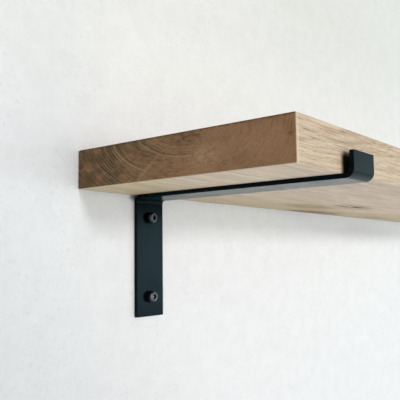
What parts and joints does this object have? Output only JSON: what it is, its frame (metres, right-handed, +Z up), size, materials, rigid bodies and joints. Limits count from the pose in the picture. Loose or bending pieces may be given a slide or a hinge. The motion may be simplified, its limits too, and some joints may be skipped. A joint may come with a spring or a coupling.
{
  "type": "bracket wall shelf",
  "caption": "Solid wood wall shelf whose plank lies in bent steel brackets with low front lips, each screwed to the wall through its leg.",
  "frame": {"origin": "on the wall's surface, at the centre of the four wall fixings; the board's underside is 65.5 mm above it", "axes": "+X along the board to the right as seen from the room, +Y into the wall, +Z up"},
  "size_m": [1, 0.305, 0.166],
  "materials": {
    "oak": "oiled flat-sawn oak with darker end grain",
    "bracket_steel": "matt black powder coat",
    "screw_steel": "black oxide, satin",
    "plug_plastic": "moulded grey nylon"
  },
  "bodies": {
    "root": {"shelf_board": "oak", "left_bracket": "bracket_steel", "right_bracket": "bracket_steel", "left_upper_screw": "screw_steel", "left_lower_screw": "screw_steel", "right_upper_screw": "screw_steel", "right_lower_screw": "screw_steel", "left_upper_plug": "plug_plastic", "left_lower_plug": "plug_plastic", "right_upper_plug": "plug_plastic", "right_lower_plug": "plug_plastic"}
  },
  "joints": []
}
